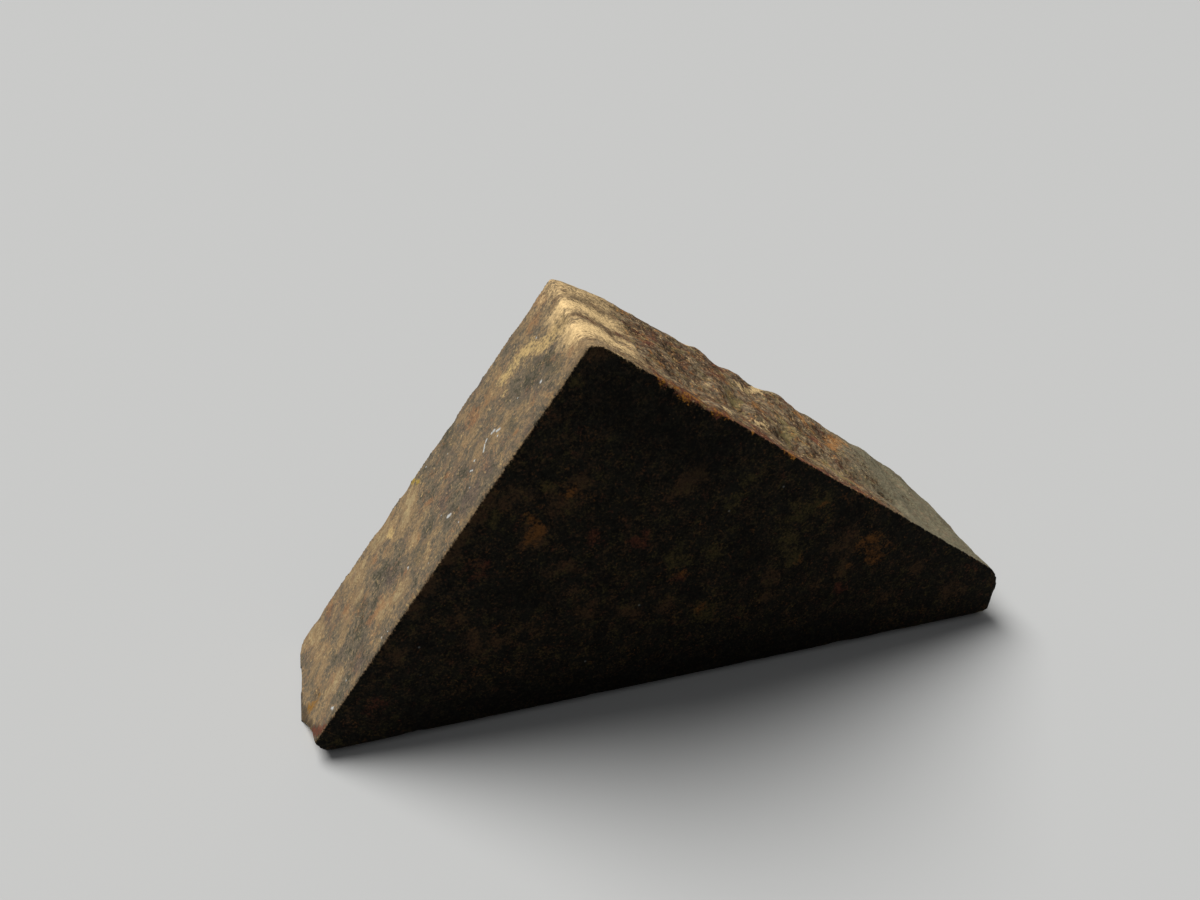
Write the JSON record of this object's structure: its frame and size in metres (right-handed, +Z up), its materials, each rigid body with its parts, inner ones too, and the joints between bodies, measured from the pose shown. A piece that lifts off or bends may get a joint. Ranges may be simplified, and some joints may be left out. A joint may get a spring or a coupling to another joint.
{
  "type": "chondrite meteorite",
  "caption": "Small stony meteorite sawn to a triangular slab that stands on its long cut side, with one weathered slope and rusty mottled faces.",
  "frame": {"origin": "middle of the flat foot that the stone stands on", "axes": "+X along the foot towards the broken end, +Y through the thickness towards the back cut, +Z up"},
  "size_m": [0.0388, 0.0086, 0.0204],
  "materials": {
    "chondrite": "matt"
  },
  "bodies": {
    "root": {"stone": "chondrite"}
  },
  "joints": []
}
